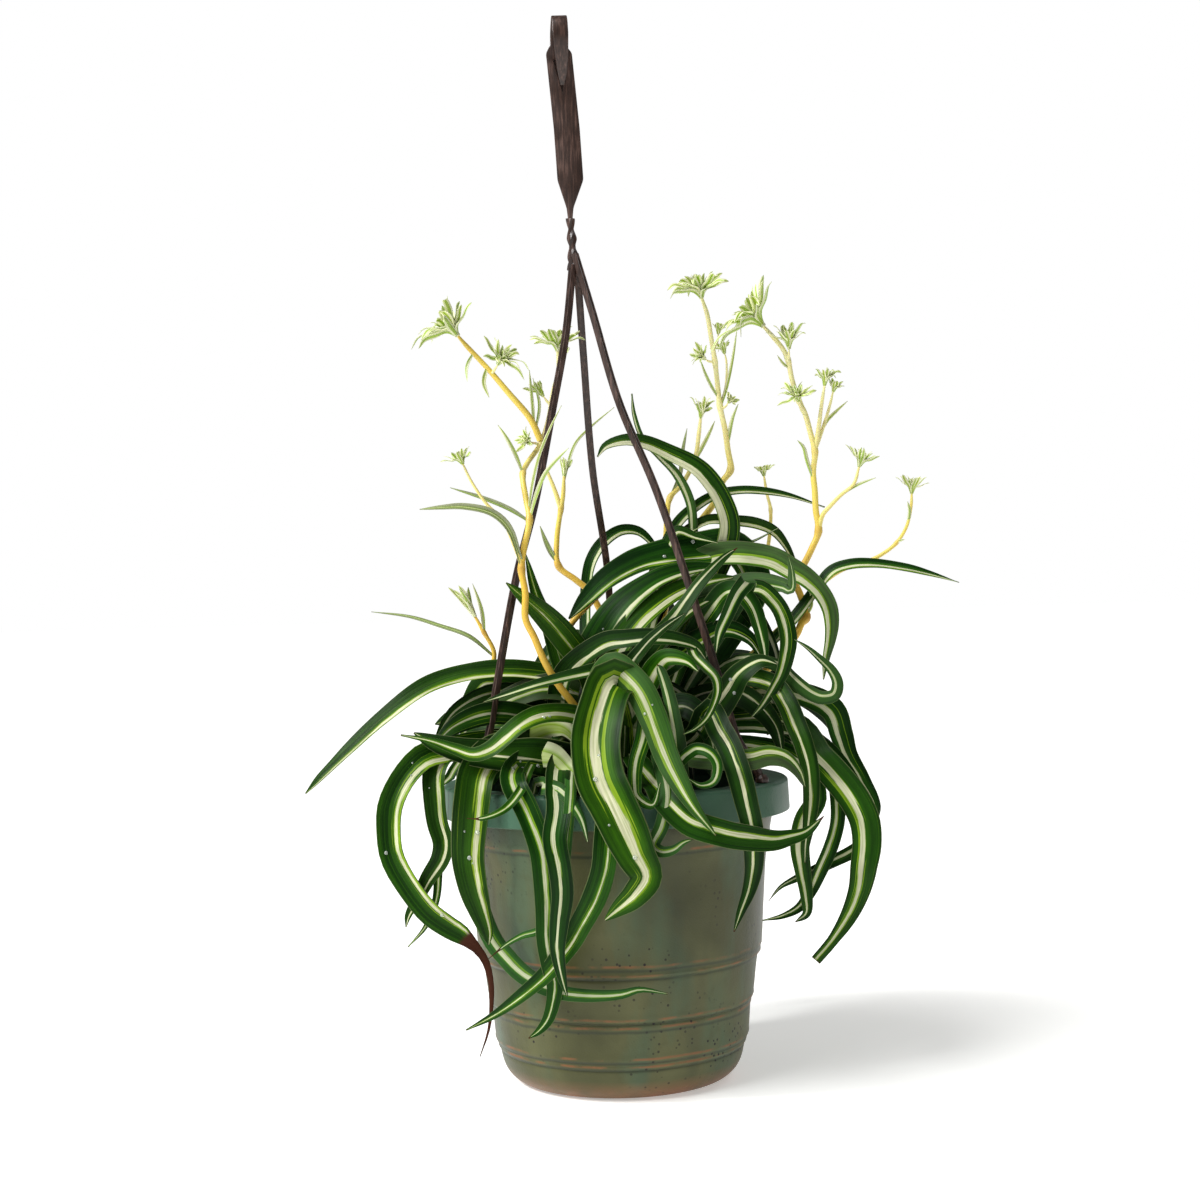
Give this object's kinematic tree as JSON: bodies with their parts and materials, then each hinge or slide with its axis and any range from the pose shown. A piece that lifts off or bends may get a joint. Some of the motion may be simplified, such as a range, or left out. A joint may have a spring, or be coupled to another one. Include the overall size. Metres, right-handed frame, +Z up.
{
  "type": "potted spider plant",
  "caption": "Curly striped spider plant with arching leaves, branching stalks and plantlets, in a round hanging pot with a moulded hanger.",
  "frame": {"origin": "middle of the pot's flat underside", "axes": "+Z up; -Y towards the side that the picture shows; +X to the right in that view"},
  "size_m": [0.3938, 0.282, 0.6422],
  "materials": {
    "pot": "grey-green glaze-like moulding, worn to terracotta on its ridges",
    "soil": "dark peat potting mix",
    "hanger": "dark brown moulded plastic, satin",
    "leaf": "green leaf with a cream middle stripe, waxy",
    "stalk": "straw-yellow stem, satin",
    "plantlet": "young green leaf with pale edges"
  },
  "bodies": {
    "root": {"pot": "pot", "soil": "soil", "hanger": "hanger", "stalk_1": "stalk", "stalk_2": "stalk", "stalk_3": "stalk", "stalk_4": "stalk", "stalk_5": "stalk", "stalk_6": "stalk", "stalk_7": "stalk", "stalk_9": "stalk", "plantlet_1b": "plantlet", "plantlet_1a": "plantlet", "plantlet_1c": "plantlet", "plantlet_1d": "plantlet", "plantlet_1e": "plantlet", "plantlet_8": "plantlet", "plantlet_2": "plantlet", "plantlet_3": "plantlet", "plantlet_4": "plantlet", "plantlet_4b": "plantlet", "plantlet_4c": "plantlet", "plantlet_4d": "plantlet", "plantlet_4e": "plantlet", "plantlet_5a": "plantlet", "plantlet_5e": "plantlet", "plantlet_5f": "plantlet", "plantlet_5g": "plantlet", "plantlet_5b": "plantlet", "plantlet_5c": "plantlet", "plantlet_6": "plantlet", "plantlet_7": "plantlet", "plantlet_9": "plantlet", "rosette": "leaf"}
  },
  "joints": []
}
